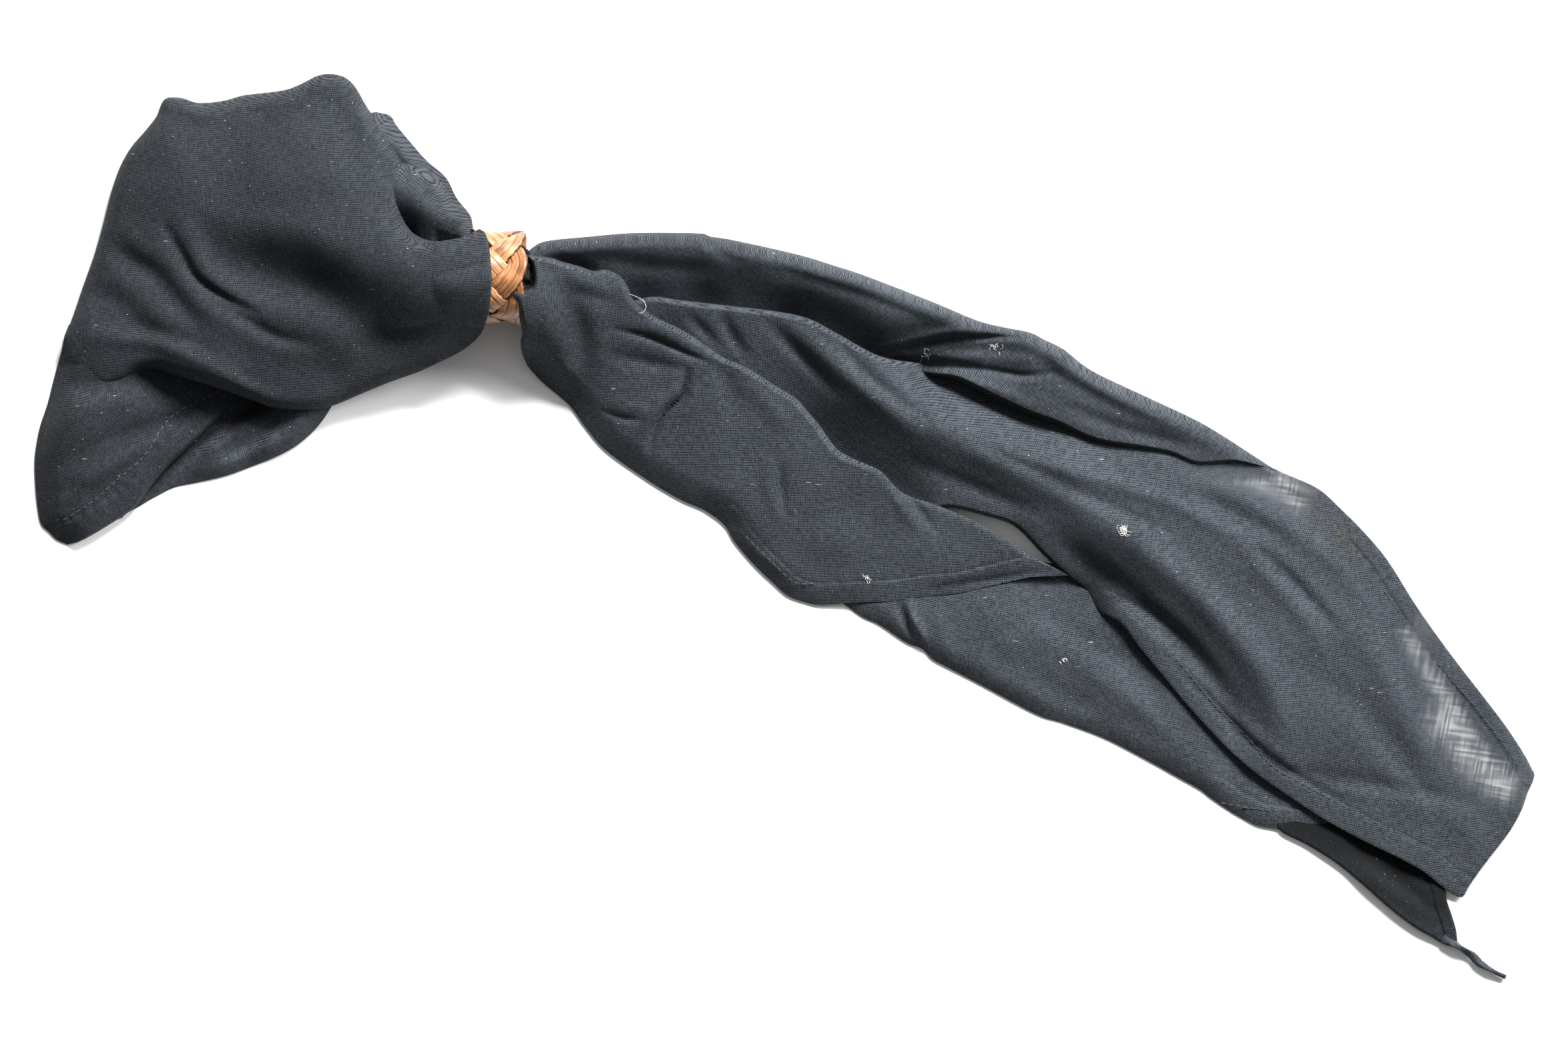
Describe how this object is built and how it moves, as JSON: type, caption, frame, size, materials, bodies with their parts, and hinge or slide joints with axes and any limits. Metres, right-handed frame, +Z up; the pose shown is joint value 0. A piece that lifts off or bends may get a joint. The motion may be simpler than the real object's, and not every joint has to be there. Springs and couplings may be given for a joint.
{
  "type": "neckerchief with plaited woggle",
  "caption": "Black cotton neckerchief folded and gathered through a sliding plaited tan leather ring, lying flat with its loop to one side and its tails to the other.",
  "frame": {"origin": "on the floor plane, under the middle of the whole neckerchief as it lies", "axes": "+X from the loop towards the tails, along the woggle's own axis, +Z up from the floor"},
  "size_m": [0.6216, 0.3772, 0.042],
  "materials": {
    "cloth": "matt black plain weave, a little sheer in one layer",
    "leather": "smooth tan grain with scored lines, brown rough cut edges"
  },
  "bodies": {
    "neckerchief": {"neck_gather": "cloth", "loop_flap": "cloth", "loop_crown_fold": "cloth", "loop_back_fold": "cloth", "loop_lower_lobe": "cloth", "loop_hem_flap": "cloth", "far_tail_roll": "cloth", "far_tail_panel": "cloth", "near_tail": "cloth", "under_tail": "cloth", "lowest_tail": "cloth", "hem_tip": "cloth"},
    "woggle": {"woggle_plait": "leather"}
  },
  "joints": [
    {"name": "woggle_slide", "type": "slide", "parent": "neckerchief", "child": "woggle", "axis": [-1, 0, 0], "range_m": [0, 0.01]}
  ]
}
